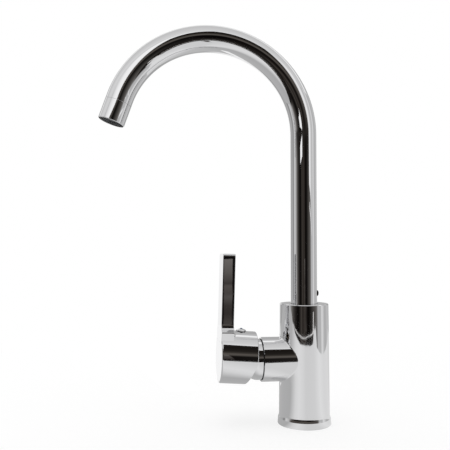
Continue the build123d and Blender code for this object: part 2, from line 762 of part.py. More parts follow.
# Brass foot pressed into the tube, with grooves for two O-rings and the clip.
with BuildPart() as spout_connector:
    with BuildSketch(Plane.XZ):
        with BuildLine():
            Polyline(
                (connector_bore, connector_bottom),
                (tube_radius, connector_bottom),
                (tube_radius, tube_bottom),
                (tube_bore - fit_gap, tube_bottom),
                (tube_bore - fit_gap, connector_top),
                (connector_bore, connector_top),
                close=True,
            )
        make_face()
    revolve(axis=Axis.Z)
    for height in oring_heights:
        with BuildSketch(Plane.XY.offset(height - oring_groove_width / 2)):
            Circle(tube_radius + oring_section)
            Circle(groove_radius, mode=Mode.SUBTRACT)
        extrude(amount=oring_groove_width, mode=Mode.SUBTRACT)
    with BuildSketch(Plane.XY.offset(clip_height - loose_gap)):
        Circle(tube_radius + oring_section)
        Circle(clip_inner - running_gap, mode=Mode.SUBTRACT)
    extrude(amount=clip_thickness + 2 * loose_gap, mode=Mode.SUBTRACT)
    with BuildSketch(lock_plane):
        Circle(lock_screw_radius + fit_gap)
    extrude(amount=tube_radius, mode=Mode.SUBTRACT)
spout_connector.part.label = "spout_connector"
export_step(spout_connector.part, "parts/spout_connector.step")

# Two rubber O-rings that seal the foot in the body.
with BuildPart() as spout_o_rings:
    with BuildSketch(Plane.XZ):
        with Locations(*[(oring_radius, height) for height in oring_heights]):
            Circle(oring_section)
    revolve(axis=Axis.Z)
spout_o_rings.part.label = "spout_o_rings"
export_step(spout_o_rings.part, "parts/spout_o_rings.step")

# Steel screw with a round head, from the back of the tube into its foot.
with BuildPart() as spout_lock_screw:
    with BuildSketch(lock_plane.offset(lock_seat - lock_screw_length)):
        Circle(lock_screw_radius)
    extrude(amount=lock_screw_length)
    with BuildSketch(lock_plane.offset(lock_seat)):
        Circle(lock_head_radius)
    extrude(amount=lock_head_height)
    fillet(spout_lock_screw.faces().sort_by(Axis.X)[-1].edges(), radius=lock_head_round)
    with BuildSketch(lock_plane.offset(lock_seat + lock_head_height)):
        RegularPolygon(lock_socket, 6)
    extrude(amount=-lock_socket_depth, mode=Mode.SUBTRACT)
spout_lock_screw.part.label = "spout_lock_screw"
export_step(spout_lock_screw.part, "parts/spout_lock_screw.step")

# Split steel clip that keeps the foot in its socket.
with BuildPart() as spout_clip:
    with BuildSketch(Plane.XY.offset(clip_height)):
        Circle(socket_radius + clip_reach)
        Circle(clip_inner, mode=Mode.SUBTRACT)
        with Locations((socket_radius, 0)):
            Rectangle(socket_radius, clip_opening, mode=Mode.SUBTRACT)
    extrude(amount=clip_thickness)
spout_clip.part.label = "spout_clip"
export_step(spout_clip.part, "parts/spout_clip.step")

# Nylon rings that guide the tube at the top of the socket and carry its foot.
glide_outer = socket_radius - fit_gap
glide_start = body_height - glide_recess - glide_height
upper_glide_ring = ring(Plane.XY, tube_radius + running_gap, glide_outer, glide_start, glide_height)
upper_glide_ring.part.label = "upper_glide_ring"
export_step(upper_glide_ring.part, "parts/upper_glide_ring.step")

glide_inner = glide_outer - lower_glide_wall
lower_glide_ring = ring(Plane.XY, glide_inner, glide_outer, socket_floor, lower_glide_height)
lower_glide_ring.part.label = "lower_glide_ring"
export_step(lower_glide_ring.part, "parts/lower_glide_ring.step")


# ================================================================ outlet
# Brass bush in the end of the tube, with the spigot that carries the collar.
with BuildPart() as outlet_bush:
    with BuildSketch(outlet_plane.offset(-bush_inside)):
        Circle(tube_bore - fit_gap)
        Circle(bush_bore, mode=Mode.SUBTRACT)
    extrude(amount=bush_inside)
    with BuildSketch(outlet_plane):
        Circle(bush_spigot_radius)
        Circle(bush_bore, mode=Mode.SUBTRACT)
    extrude(amount=bush_spigot)
outlet_bush.part.label = "outlet_bush"
export_step(outlet_bush.part, "parts/outlet_bush.step")

# Chromed collar screwed onto the bush, with a ledge that holds the insert.
thread_bore = bush_spigot_radius + fit_gap
with BuildPart() as aerator_housing:
    with BuildSketch(outlet_section):
        with BuildLine():
            Polyline(
                (thread_bore, 0),
                (tube_radius, 0),
                (tube_radius, collar_length),
                (collar_bore, collar_length),
                (collar_bore, ledge_end),
                (collar_bore - collar_ledge_wall, ledge_end),
                (collar_bore - collar_ledge_wall, ledge_end - collar_ledge),
                (collar_bore, ledge_end - collar_ledge),
                (collar_bore, bush_spigot),
                (thread_bore, bush_spigot),
                close=True,
            )
        make_face()
    revolve(axis=outlet_axis)
    rims = aerator_housing.edges().filter_by(GeomType.CIRCLE).sort_by(outlet_axis)
    chamfer(rims.sort_by(SortBy.RADIUS)[-2:].sort_by(outlet_axis)[0], length=seam_bevel)
    face_rim = aerator_housing.faces().sort_by(outlet_axis)[-1].outer_wire().edges()
    fillet(face_rim, radius=collar_edge_round)
aerator_housing.part.label = "aerator_housing"
export_step(aerator_housing.part, "parts/aerator_housing.step")

# Rubber washer between the bush and the insert.
aerator_washer = ring(outlet_plane, bush_bore, collar_bore - fit_gap, bush_spigot, washer_thickness)
aerator_washer.part.label = "aerator_washer"
export_step(aerator_washer.part, "parts/aerator_washer.step")

# Plastic insert: filtered water passes its middle, mixed water the holes round it.
with BuildPart() as aerator_insert:
    with BuildSketch(outlet_plane.offset(insert_start)):
        Circle(collar_bore - fit_gap)
        Circle(inner_tube_radius - inner_tube_wall, mode=Mode.SUBTRACT)
        with PolarLocations(spray_circle, spray_hole_count):
            Circle(spray_hole_radius, mode=Mode.SUBTRACT)
    extrude(amount=insert_length)
    with BuildSketch(outlet_plane.offset(insert_start)):
        Circle(neck_bore_radius)
    extrude(amount=insert_socket_depth, mode=Mode.SUBTRACT)
aerator_insert.part.label = "aerator_insert"
export_step(aerator_insert.part, "parts/aerator_insert.step")

# Steel screen at the mouth, with the nozzle opening in its middle.
with BuildPart() as aerator_screen:
    with BuildSketch(outlet_plane.offset(insert_start + insert_length)):
        Circle(collar_bore - fit_gap)
        Circle(screen_nozzle_radius, mode=Mode.SUBTRACT)
        with PolarLocations(inner_screen_radius, inner_screen_count):
            Circle(screen_hole_radius, mode=Mode.SUBTRACT)
        with PolarLocations(outer_screen_radius, outer_screen_count):
            Circle(screen_hole_radius, mode=Mode.SUBTRACT)
    extrude(amount=screen_thickness)
aerator_screen.part.label = "aerator_screen"
export_step(aerator_screen.part, "parts/aerator_screen.step")
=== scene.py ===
import bmesh
import bpy
from math import asin, cos, pi, radians, sin, sqrt, tan
from mathutils import Matrix, Vector


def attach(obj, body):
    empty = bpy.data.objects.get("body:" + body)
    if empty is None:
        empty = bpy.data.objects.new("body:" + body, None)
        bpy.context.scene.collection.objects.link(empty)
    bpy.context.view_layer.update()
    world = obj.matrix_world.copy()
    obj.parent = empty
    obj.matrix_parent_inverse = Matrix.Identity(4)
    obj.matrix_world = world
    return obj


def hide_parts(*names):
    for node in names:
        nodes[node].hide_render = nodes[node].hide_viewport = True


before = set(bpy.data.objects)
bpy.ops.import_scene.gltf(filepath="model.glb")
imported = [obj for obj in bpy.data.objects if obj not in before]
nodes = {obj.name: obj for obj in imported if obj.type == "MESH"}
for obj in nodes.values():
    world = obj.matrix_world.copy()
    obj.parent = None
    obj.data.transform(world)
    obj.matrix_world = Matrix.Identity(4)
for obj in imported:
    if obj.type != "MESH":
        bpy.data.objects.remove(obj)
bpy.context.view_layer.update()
scene = bpy.context.scene


# ------------------------------------------------------------------ camera
# The photograph looks at the tap from a little above its foot, turned towards
# the lever. Place and lens were worked out from the outline of the pieces.
camera_place = Vector((-0.155335, -0.561948, 0.166279))
camera_forward = Vector((0.1339736, 0.98978366, 0.04877894))
camera_up = Vector((-0.00928622, -0.04796662, 0.99880577))
camera_data = bpy.data.cameras.new("photo_camera")
camera_data.sensor_width = 36.0
camera_data.lens = 46.253
camera_data.clip_start = 0.01
camera = bpy.data.objects.new("photo_camera", camera_data)
camera_right = camera_forward.cross(camera_up).normalized()
camera_turn = Matrix((camera_right, camera_up, -camera_forward)).transposed()
camera.matrix_world = Matrix.Translation(camera_place) @ camera_turn.to_4x4()
scene.collection.objects.link(camera)
scene.camera = camera
scene.view_settings.view_transform = "Standard"


# ------------------------------------------------------------------ room
# A pale room with a bright ceiling. It is dark only where the photographer
# stands, and polished chrome shows that as the dark band down its middle.
def linear(colour):
    """An sRGB hex colour as the linear RGBA that a socket takes."""
    parts = [int(colour[i:i + 2], 16) / 255 for i in (1, 3, 5)]
    return [p / 12.92 if p <= 0.04045 else ((p + 0.055) / 1.055) ** 2.4 for p in parts] + [1.0]


def add_node(tree, kind, settings=None, links=None):
    """A node with its settings and input values, linked from other nodes' outputs."""
    node = tree.nodes.new(kind)
    for name, value in (settings or {}).items():
        if isinstance(name, int) or name in node.inputs:
            node.inputs[name].default_value = value
        else:
            setattr(node, name, value)
    for name, output in (links or {}).items():
        tree.links.new(output, node.inputs[name])
    return node


def fill_ramp(ramp, stops):
    """Gives a colour ramp its stops, as pairs of position and sRGB hex colour."""
    elements = ramp.color_ramp.elements
    while len(elements) < len(stops):
        elements.new(0.5)
    for element, (position, colour) in zip(elements, stops):
        element.position = position
        element.color = linear(colour)


to_photographer = Vector((camera_place.x, camera_place.y, 0)).normalized()
to_right = Vector((-to_photographer.y, to_photographer.x, 0))


def angle_to(tree, place):
    """The angle of a place or direction from the photographer, positive to the right."""
    ahead = add_node(
        tree, "ShaderNodeVectorMath", {"operation": "DOT_PRODUCT", 1: to_photographer}, {0: place}
    )
    aside = add_node(
        tree, "ShaderNodeVectorMath", {"operation": "DOT_PRODUCT", 1: to_right}, {0: place}
    )
    angle = add_node(
        tree,
        "ShaderNodeMath",
        {"operation": "ARCTAN2"},
        {0: aside.outputs["Value"], 1: ahead.outputs["Value"]},
    )
    return angle.outputs[0]


def tones_by_angle(tree, angle, widest, tones):
    """Tones laid out by an angle that goes from -widest to widest, in degrees."""
    share = add_node(
        tree,
        "ShaderNodeMapRange",
        {"From Min": -radians(widest), "From Max": radians(widest)},
        {"Value": angle},
    )
    ramp = add_node(tree, "ShaderNodeValToRGB", {}, {"Fac": share.outputs[0]})
    fill_ramp(ramp, [((degrees + widest) / (2 * widest), tone) for degrees, tone in tones])
    return ramp.outputs["Color"]


# what stands round the table, by its angle from the photographer, in degrees
room_tones = (
    (-173, "#B4B4B4"), (-167, "#F8F8F8"), (-151, "#F8F8F8"), (-147, "#A0A0A0"), (-140, "#9C9C9C"),
    (-126, "#B4B4B4"), (-110, "#AEAEAE"), (-98, "#808080"), (-87, "#D4D4D4"), (-74, "#C4C4C4"),
    (-66, "#A8A6A5"), (-61, "#807D7B"), (-52, "#504D4A"), (-42, "#2E2B29"), (-32, "#120F0E"),
    (-23, "#0E0C0B"), (-17, "#2A2724"), (-11, "#443F3B"), (-5, "#282421"), (4, "#3E3935"),
    (11, "#1C1816"), (22, "#080606"), (32, "#22201E"), (53, "#565350"), (62, "#706E6C"),
    (69, "#BEBEBE"), (84, "#BCBCBC"), (92, "#E6E6E6"), (112, "#B4B4B4"), (148, "#D0D0D0"),
    (154, "#9C9C9C"), (175, "#B4B4B4"),
)
# the dark front of the room from floor to ceiling, by degrees above the horizon
front_tones = (
    (-40, "#343230"), (-24, "#322F2C"), (-14, "#1C1917"), (0, "#0C0A09"), (11, "#1B1816"),
    (15, "#4C4844"), (20, "#5C5752"), (25, "#3C3834"), (32, "#24211E"), (48, "#1A1715"),
    (58, "#26221F"), (70, "#3A3633"), (90, "#B8B8B8"),
)
# it reaches this far to each side of the photographer and fades over the feather;
# nearer the horizon than the first of these angles the tones round the table show
front_half = 60
front_feather = 12
front_takes_over = (8, 13)
world = bpy.data.worlds.new("pale_room")
scene.world = world
world.use_nodes = True
tree = world.node_tree
tree.nodes.clear()
direction = add_node(tree, "ShaderNodeTexCoord").outputs["Generated"]
turn = angle_to(tree, direction)
room = tones_by_angle(tree, turn, 180, room_tones)
up = add_node(tree, "ShaderNodeSeparateXYZ", {}, {0: direction})
rise = add_node(tree, "ShaderNodeMath", {"operation": "ARCSINE"}, {0: up.outputs["Z"]})
front = tones_by_angle(tree, rise.outputs[0], 90, front_tones)
turn_size = add_node(tree, "ShaderNodeMath", {"operation": "ABSOLUTE"}, {0: turn})
in_front = add_node(
    tree,
    "ShaderNodeMapRange",
    {
        "interpolation_type": "SMOOTHSTEP",
        "From Min": radians(front_half + front_feather),
        "From Max": radians(front_half),
    },
    {"Value": turn_size.outputs[0]},
)
above = add_node(
    tree,
    "ShaderNodeMapRange",
    {
        "interpolation_type": "SMOOTHSTEP",
        "From Min": radians(front_takes_over[0]),
        "From Max": radians(front_takes_over[1]),
    },
    {"Value": rise.outputs[0]},
)
below = add_node(
    tree,
    "ShaderNodeMapRange",
    {
        "interpolation_type": "SMOOTHSTEP",
        "From Min": radians(-front_takes_over[0]),
        "From Max": radians(-front_takes_over[1]),
    },
    {"Value": rise.outputs[0]},
)
off_level = add_node(
    tree, "ShaderNodeMath", {"operation": "ADD"}, {0: above.outputs[0], 1: below.outputs[0]}
)
front_share = add_node(
    tree,
    "ShaderNodeMath",
    {"operation": "MULTIPLY"},
    {0: in_front.outputs[0], 1: off_level.outputs[0]},
)
around = add_node(
    tree,
    "ShaderNodeMix",
    {"data_type": "RGBA"},
    {0: front_share.outputs[0], 6: room, 7: front},
)
rays = add_node(tree, "ShaderNodeLightPath")
seen = add_node(
    tree,
    "ShaderNodeMix",
    {"data_type": "RGBA", 7: linear("#FFFFFF")},
    {0: rays.outputs["Is Camera Ray"], 6: around.outputs[2]},
)
light = add_node(tree, "ShaderNodeBackground", {"Strength": 1.0}, {"Color": seen.outputs[2]})
add_node(tree, "ShaderNodeOutputWorld", {}, {"Surface": light.outputs[0]})


# ------------------------------------------------------------------ table and soft lights
# White paper under the tap, a white cloth stretched over it and a soft light
# at each side of the photographer. The chrome mirrors them all; the camera
# sees only the paper, white with the tap's soft shadow.
def studio_sheet(name, outline, place):
    """A flat sheet cut to an outline and put in its place, for the chrome to mirror."""
    bm = bmesh.new()
    bm.faces.new([bm.verts.new((*corner, 0)) for corner in outline])
    bmesh.ops.transform(bm, matrix=place, verts=bm.verts)
    mesh = bpy.data.meshes.new(name)
    bm.to_mesh(mesh)
    bm.free()
    sheet = bpy.data.objects.new(name, mesh)
    scene.collection.objects.link(sheet)
    sheet.visible_camera = False
    sheet.visible_shadow = False
    return sheet


def rectangle(left, near, right, far):
    """The outline of a rectangular sheet."""
    return (left, near), (right, near), (right, far), (left, far)


def bare_material(name):
    """A new material with an empty node tree."""
    material = bpy.data.materials.new(name)
    material.use_nodes = True
    material.node_tree.nodes.clear()
    return material, material.node_tree


def light_up(sheet, name, along, span, tones):
    """Lets a sheet shine, with tones that run along a direction from span's start to its end."""
    material, tree = bare_material(name)
    spot = add_node(tree, "ShaderNodeTexCoord").outputs["Object"]
    reach = add_node(
        tree, "ShaderNodeVectorMath", {"operation": "DOT_PRODUCT", 1: along}, {0: spot}
    )
    share = add_node(
        tree,
        "ShaderNodeMapRange",
        {"From Min": span[0], "From Max": span[1]},
        {"Value": reach.outputs["Value"]},
    )
    tone = add_node(tree, "ShaderNodeValToRGB", {}, {"Fac": share.outputs[0]})
    fill_ramp(tone, tones)
    light = add_node(tree, "ShaderNodeEmission", {}, {"Color": tone.outputs["Color"]})
    add_node(tree, "ShaderNodeOutputMaterial", {}, {"Surface": light.outputs[0]})
    sheet.data.materials.append(material)


# the paper that the camera sees: it takes the tap's shadow near the foot and
# turns plain white further off. The chrome looks through it.
paper_reach = 4
paper_shade = 0.30
paper_glow = 0.76
shade_reach = (0.15, 0.6)
paper_seen = studio_sheet(
    "paper", rectangle(-paper_reach, -paper_reach, paper_reach, paper_reach), Matrix.Identity(4)
)
paper_seen.visible_camera = True
paper, tree = bare_material("white_paper")
rays = add_node(tree, "ShaderNodeLightPath")
shade = add_node(tree, "ShaderNodeBsdfDiffuse", {"Color": [paper_shade] * 3 + [1.0]})
glow = add_node(tree, "ShaderNodeEmission", {"Strength": paper_glow})
near = add_node(tree, "ShaderNodeAddShader", {}, {0: shade.outputs[0], 1: glow.outputs[0]})
far = add_node(tree, "ShaderNodeEmission", {"Strength": 1.0})
spot = add_node(tree, "ShaderNodeTexCoord").outputs["Object"]
away = add_node(tree, "ShaderNodeVectorMath", {"operation": "LENGTH"}, {0: spot})
far_share = add_node(
    tree,
    "ShaderNodeMapRange",
    {"interpolation_type": "SMOOTHSTEP", "From Min": shade_reach[0], "From Max": shade_reach[1]},
    {"Value": away.outputs["Value"]},
)
white = add_node(
    tree,
    "ShaderNodeMixShader",
    {},
    {0: far_share.outputs[0], 1: near.outputs[0], 2: far.outputs[0]},
)
clear = add_node(tree, "ShaderNodeBsdfTransparent")
which = add_node(
    tree,
    "ShaderNodeMixShader",
    {},
    {0: rays.outputs["Is Glossy Ray"], 1: white.outputs[0], 2: clear.outputs[0]},
)
add_node(tree, "ShaderNodeOutputMaterial", {}, {"Surface": which.outputs[0]})
paper_seen.data.materials.append(paper)


def on_table(*places):
    """Places on the table by their angle from the photographer and distance from the tap."""
    spots = []
    for angle, reach in places:
        spot = (to_photographer * cos(radians(angle)) + to_right * sin(radians(angle))) * reach
        spots.append((spot.x, spot.y))
    return spots


# the same paper as the chrome mirrors it, with painted light and shade by the angle round the tap
paper_depth = -0.0002
paper_place = Matrix.Translation((0, 0, paper_depth))
paper_left_edge = (-1.338, 0.918), (-1.583, -0.231)
paper_back_right = (0.579, 0.511)
paper_near_edge = on_table(
    (-37, 0.733), (-18, 0.611), (0, 0.5915), (18, 0.591), (37, 0.592), (42, 0.62), (45, 0.86),
    (56, 0.88), (60, 0.547),
)
paper_tones = (
    (-180, "#C6C6C6"), (-122, "#BABABA"), (-60, "#B4B4B4"), (-50, "#C8C8C8"), (-36, "#E0E0E0"),
    (-21, "#E8E8E8"), (-2, "#E0E0E0"), (7, "#DADADA"), (26, "#DADADA"), (45, "#DCDCDC"),
    (71, "#EBEBEB"), (96, "#E3E3E3"), (128, "#E5E5E5"), (180, "#C6C6C6"),
)
paper_mirrored = studio_sheet(
    "paper_in_chrome",
    (*paper_left_edge, *paper_near_edge, paper_back_right),
    paper_place,
)
paper_mirrored.visible_diffuse = False
mirrored, tree = bare_material("painted_light_of_paper_in_chrome")
spot = add_node(tree, "ShaderNodeTexCoord").outputs["Object"]
tone = tones_by_angle(tree, angle_to(tree, spot), 180, paper_tones)
light = add_node(tree, "ShaderNodeEmission", {}, {"Color": tone})
add_node(tree, "ShaderNodeOutputMaterial", {}, {"Surface": light.outputs[0]})
paper_mirrored.data.materials.append(mirrored)

# a white sheet on the paper behind the lever, that the end of the cap mirrors
back_sheet = studio_sheet(
    "white_back_sheet",
    ((-0.09, 0.15), (-0.13, 0.15), (-0.28, 0.82), (-0.18, 0.82)),
    Matrix.Translation((0, 0, -paper_depth / 2)),
)
light_up(back_sheet, "white_back_paper", (0, 1, 0), (0, 1), ((0, "#FCFCFC"), (1, "#FCFCFC")))

# the edge of the table, a pale line in the dark in front of the paper
table_edge = studio_sheet(
    "table_edge",
    on_table(
        (-50, 0.94), (-37, 0.798), (-18, 0.719), (0, 0.687), (18, 0.710), (37, 0.745), (44, 0.79),
        (45.5, 1.3), (43, 1.3), (41.5, 0.82), (36, 0.770), (18, 0.732), (0, 0.709), (-18, 0.741),
        (-37, 0.824), (-50, 0.97),
    ),
    paper_place,
)
light_up(table_edge, "pale_table_edge", (1, 0, 0), (-0.9, 0.6), ((0, "#DAD8D6"), (1, "#F2F0EE")))

# the cloth overhead, square to the photographer and brightest in a strip over
# the tap, and a wing that closes the gap between it and the left light
cloth_height = 0.82
cloth_turn = Matrix.Rotation(radians(-15.45), 4, "Z")
cloth_front = -0.40
cloth_back = 0.80
wing_drop = 0.002
cloth = studio_sheet(
    "white_cloth",
    rectangle(-1.35, cloth_front, 0.75, cloth_back),
    Matrix.Translation((0, 0, cloth_height)) @ cloth_turn,
)
light_up(
    cloth,
    "lit_white_cloth",
    -to_photographer,
    (cloth_front, cloth_back),
    (
        (0, "#F0F0F0"), (0.10, "#DCDCDC"), (0.3, "#D2D2D2"), (0.52, "#CACACA"), (0.56, "#FFFFFF"),
        (0.68, "#FFFFFF"), (0.72, "#C4C4C4"), (1, "#BEBEBE"),
    ),
)
cloth_wing = studio_sheet(
    "cloth_wing",
    ((-1.45, -0.42), (-0.03, -0.42), (-0.03, -0.37), (-1.45, 0.05)),
    Matrix.Translation((0, 0, cloth_height - wing_drop)),
)
light_up(cloth_wing, "wing_cloth", (1, 0, 0), (0, 1), ((0, "#DCDCDC"), (1, "#DCDCDC")))

# a soft light stands at each side of the photographer, each with a flap below it.
# Their outlines give the bands of the tube and the body their ends.
lights_stand = -0.41
upright = Matrix.Rotation(radians(90), 4, "X")
standing = Matrix.Translation((0, lights_stand, 0)) @ upright
left_light = studio_sheet(
    "left_soft_light",
    (
        (-1.3, 0.72), (-0.60, 0.50), (-0.42, 0.425), (-0.256, 0.425), (-0.21, 0.51),
        (-0.187, 0.70), (-0.03, 0.815), (-1.3, 0.815),
    ),
    standing,
)
light_up(
    left_light,
    "left_light_cloth",
    (1, 0, 0),
    (-1.3, 0),
    ((0, "#DCDCDC"), (0.3, "#C4C4C4"), (0.5, "#E6E6E6"), (0.7, "#FFFFFF"), (1, "#FFFFFF")),
)
right_light = studio_sheet(
    "right_soft_light",
    (
        (0.30, 0.295), (0.55, 0.27), (1.0, 0.22), (1.0, 0.815), (0.19, 0.815), (0.19, 0.70),
        (0.22, 0.50), (0.29, 0.33),
    ),
    standing,
)
light_up(
    right_light,
    "right_light_cloth",
    (1, 0, 0),
    (0.17, 1.0),
    ((0, "#A4A4A4"), (0.1, "#E4E4E4"), (0.26, "#FFFFFF"), (0.42, "#D6D6D6"), (1, "#BCBCBC")),
)
flaps = (
    ("left_light_flap", rectangle(-0.36, 0.335, -0.187, 0.372), "#FFFFFF"),
    ("right_light_flap", ((0.33, 0.25), (0.74, 0.207), (0.74, 0.220), (0.33, 0.263)), "#F0F0F0"),
)
for name, outline, tone in flaps:
    flap = studio_sheet(name, outline, standing)
    light_up(flap, name + "_cloth", (1, 0, 0), (0, 1), ((0, tone), (1, tone)))

# a grey sheet closer to the tap, seen only in the chrome: a painted reflection that gives the
# lever's blade the tones of its face
card_stands = -0.325
card_span = (0.056, 0.158)
card = studio_sheet(
    "grey_card",
    rectangle(-0.0437, card_span[0], -0.0252, card_span[1]),
    Matrix.Translation((0, card_stands, 0)) @ upright,
)
card.visible_diffuse = False
light_up(
    card,
    "painted_blade_reflection",
    (0, 0, 1),
    card_span,
    (
        (0, "#4A4643"), (0.2, "#34302E"), (0.32, "#3A3634"), (0.45, "#54504E"), (0.5, "#484442"),
        (0.6, "#55504D"), (0.64, "#3E3A38"), (0.8, "#5C5855"), (1, "#6E6A67"),
    ),
)

# a soft lamp overhead fills what the cloth leaves dim; the chrome doesn't mirror it
lamp_place = (-0.15, -0.25, 1.4)
lamp_width = 1.2
lamp_watts = 9.0
lamp_data = bpy.data.lights.new("overhead_lamp", "AREA")
lamp_data.shape = "DISK"
lamp_data.size = lamp_width
lamp_data.energy = lamp_watts
lamp = bpy.data.objects.new("overhead_lamp", lamp_data)
lamp.location = lamp_place
lamp.visible_glossy = False
scene.collection.objects.link(lamp)


# ------------------------------------------------------------------ tap body
# Brass casting, ground and polished, then plated with nickel and chrome. Its
# shape with the boss, the ports below and the socket above is the CAD node's.
mm = 0.001


def start_material(name):
    """A new material, with its node tree and its Principled shader."""
    material = bpy.data.materials.new(name)
    material.use_nodes = True
    return material, material.node_tree, material.node_tree.nodes["Principled BSDF"]


def dress(material, *names):
    """Gives CAD nodes their material."""
    for name in names:
        nodes[name].data.materials.clear()
        nodes[name].data.materials.append(material)


# Polished chrome plate: a clear mirror with a trace of waviness left by the
# grinding of the casting, and faint smears where hands wiped it.
chrome, tree, shader = start_material("polished_chrome_plate")
chrome_colour = "#EDEDEE"
chrome_roughness = (0.02, 0.06)
smear_share = (0.45, 0.75)
smear_width = 14 * mm
ground_wave = 9 * mm
ground_depth = 0.016 * mm
shader.inputs["Base Color"].default_value = linear(chrome_colour)
shader.inputs["Metallic"].default_value = 1.0
place = add_node(tree, "ShaderNodeTexCoord").outputs["Object"]
smears = add_node(
    tree, "ShaderNodeTexNoise", {"Scale": 1 / smear_width, "Detail": 4.0}, {"Vector": place}
)
smear_roughness = add_node(
    tree,
    "ShaderNodeMapRange",
    {
        "From Min": smear_share[0],
        "From Max": smear_share[1],
        "To Min": chrome_roughness[0],
        "To Max": chrome_roughness[1],
    },
    {"Value": smears.outputs[0]},
)
tree.links.new(smear_roughness.outputs[0], shader.inputs["Roughness"])
waves = add_node(
    tree, "ShaderNodeTexNoise", {"Scale": 1 / ground_wave, "Detail": 0.0}, {"Vector": place}
)
ground = add_node(tree, "ShaderNodeBump", {"Distance": ground_depth}, {"Height": waves.outputs[0]})
tree.links.new(ground.outputs[0], shader.inputs["Normal"])
dress(chrome, "tap_body")


# ------------------------------------------------------------------ base ring
# Turned brass ring, chromed, that the barrel stands in. It flares from the
# barrel to a broad foot, and a lip inside carries the body.
def arc_corner(start, end, radius):
    """The corner that becomes the arc from start to end when it is rounded.
    A negative radius hollows the arc to the other side of the line between them."""
    first, last = Vector(start), Vector(end)
    chord = last - first
    half = asin(chord.length / 2 / abs(radius))
    side = Vector((chord.y, -chord.x)).normalized() * radius * tan(half) * sin(half)
    corner = (first + last) / 2 + side
    return corner.x, corner.y, abs(radius) * tan(half)


def round_off(bm, parts, kind, offset, steps):
    """Rounds corners, kind VERTICES, or edges, kind EDGES."""
    bmesh.ops.bevel(
        bm, geom=parts, offset=offset, segments=steps, profile=0.5, affect=kind, material=-1
    )


def turned(section, place=Matrix.Identity(4), steps=144, arc_steps=8):
    """A piece turned about Z from its section of (radius, height, rounding) corners.
    The rounding is how far an arc starts before the corner. Place stands the piece up."""
    bm = bmesh.new()
    corners = [bm.verts.new((radius, 0, height)) for radius, height, rounding in section]
    for first, second in zip(corners, corners[1:] + corners[:1]):
        if first.co.x + second.co.x > 0:
            bm.edges.new((first, second))
    for corner, (radius, height, rounding) in zip(corners, section):
        if rounding > 0:
            round_off(bm, [corner], "VERTICES", rounding, arc_steps)
    bmesh.ops.remove_doubles(bm, verts=bm.verts, dist=0.002 * mm)
    bmesh.ops.spin(
        bm,
        geom=bm.verts[:] + bm.edges[:],
        cent=(0, 0, 0),
        axis=(0, 0, 1),
        angle=2 * pi,
        steps=steps,
        use_merge=True,
    )
    bmesh.ops.remove_doubles(bm, verts=bm.verts, dist=0.001 * mm)
    bmesh.ops.transform(bm, matrix=place, verts=bm.verts)
    bmesh.ops.recalc_face_normals(bm, faces=bm.faces)
    return bm


sharp_from = radians(32)


def put(bm, name, material, body, slot, *stands_for):
    """The finished mesh as a piece that rides on a body and stands for its CAD nodes."""
    mesh = bpy.data.meshes.new(name)
    bm.to_mesh(mesh)
    bm.free()
    mesh.shade_smooth()
    mesh.set_sharp_from_angle(angle=sharp_from)
    mesh.materials.append(material)
    piece = bpy.data.objects.new(name, mesh)
    scene.collection.objects.link(piece)
    weighted = piece.modifiers.new("weighted_normals", "WEIGHTED_NORMAL")
    weighted.keep_sharp = True
    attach(piece, body)
    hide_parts(*stands_for)


# from the hose opening round: seal groove, foot, flare, rim, bore and ledge
land_top = (25.8 * mm, 6 * mm)
ring_top = (24.79 * mm, 11 * mm)
foot_ring_section = (
    (20 * mm, 0, 0),
    (21.3 * mm, 0, 0),
    (21.3 * mm, 1.6 * mm, 0),
    (24.2 * mm, 1.6 * mm, 0),
    (24.2 * mm, 0, 0),
    (26.16 * mm, 0, 0.5 * mm),
    (*land_top, 0),
    arc_corner(land_top, ring_top, -9 * mm),
    (*ring_top, 0.12 * mm),
    (23.54 * mm, 11 * mm, 0),
    (23.54 * mm, 2.2 * mm, 0),
    (20 * mm, 2.2 * mm, 0),
)
put(turned(foot_ring_section), "flared_foot_ring", chrome, "tap", "polished_chrome", "base_ring")


# ------------------------------------------------------------------ base seal
# Moulded rubber ring that lies in the groove of the foot ring, pressed flat
# between the tap and the worktop to keep water out.
def grained(name, colours, roughness, patch, grain, depth, traits=None):
    """A finish whose colour and gloss drift in patches, over a fine grain.
    Traits are more of the shader's values. The noise mostly lies from low to high."""
    low, high = 0.35, 0.65
    material, tree, shader = start_material(name)
    for trait, value in (traits or {}).items():
        shader.inputs[trait].default_value = value
    place = add_node(tree, "ShaderNodeTexCoord").outputs["Object"]
    patches = add_node(
        tree, "ShaderNodeTexNoise", {"Scale": 1 / patch, "Detail": 3.0}, {"Vector": place}
    )
    tone = add_node(tree, "ShaderNodeValToRGB", {}, {"Fac": patches.outputs[0]})
    fill_ramp(tone, ((low, colours[0]), (high, colours[1])))
    gloss = add_node(
        tree,
        "ShaderNodeMapRange",
        {"From Min": low, "From Max": high, "To Min": roughness[0], "To Max": roughness[1]},
        {"Value": patches.outputs[0]},
    )
    grains = add_node(
        tree, "ShaderNodeTexNoise", {"Scale": 1 / grain, "Detail": 2.0}, {"Vector": place}
    )
    relief = add_node(tree, "ShaderNodeBump", {"Distance": depth}, {"Height": grains.outputs[0]})
    tree.links.new(tone.outputs["Color"], shader.inputs["Base Color"])
    tree.links.new(gloss.outputs[0], shader.inputs["Roughness"])
    tree.links.new(relief.outputs[0], shader.inputs["Normal"])
    return material


# Black EPDM rubber, moulded: nearly matt, greyer where talc and wax bloom on
# its skin, with the fine grain of a sparked mould.
rubber = grained(
    "moulded_black_rubber", ("#131313", "#212020"), (0.5, 0.68), 3 * mm, 0.25 * mm, 0.012 * mm
)
dress(rubber, "base_seal")


# ------------------------------------------------------------------ cartridge
# Nylon housing with two lapped ceramic discs. The stem swings in a carrier and
# slides the upper disc over the ports of the lower one.

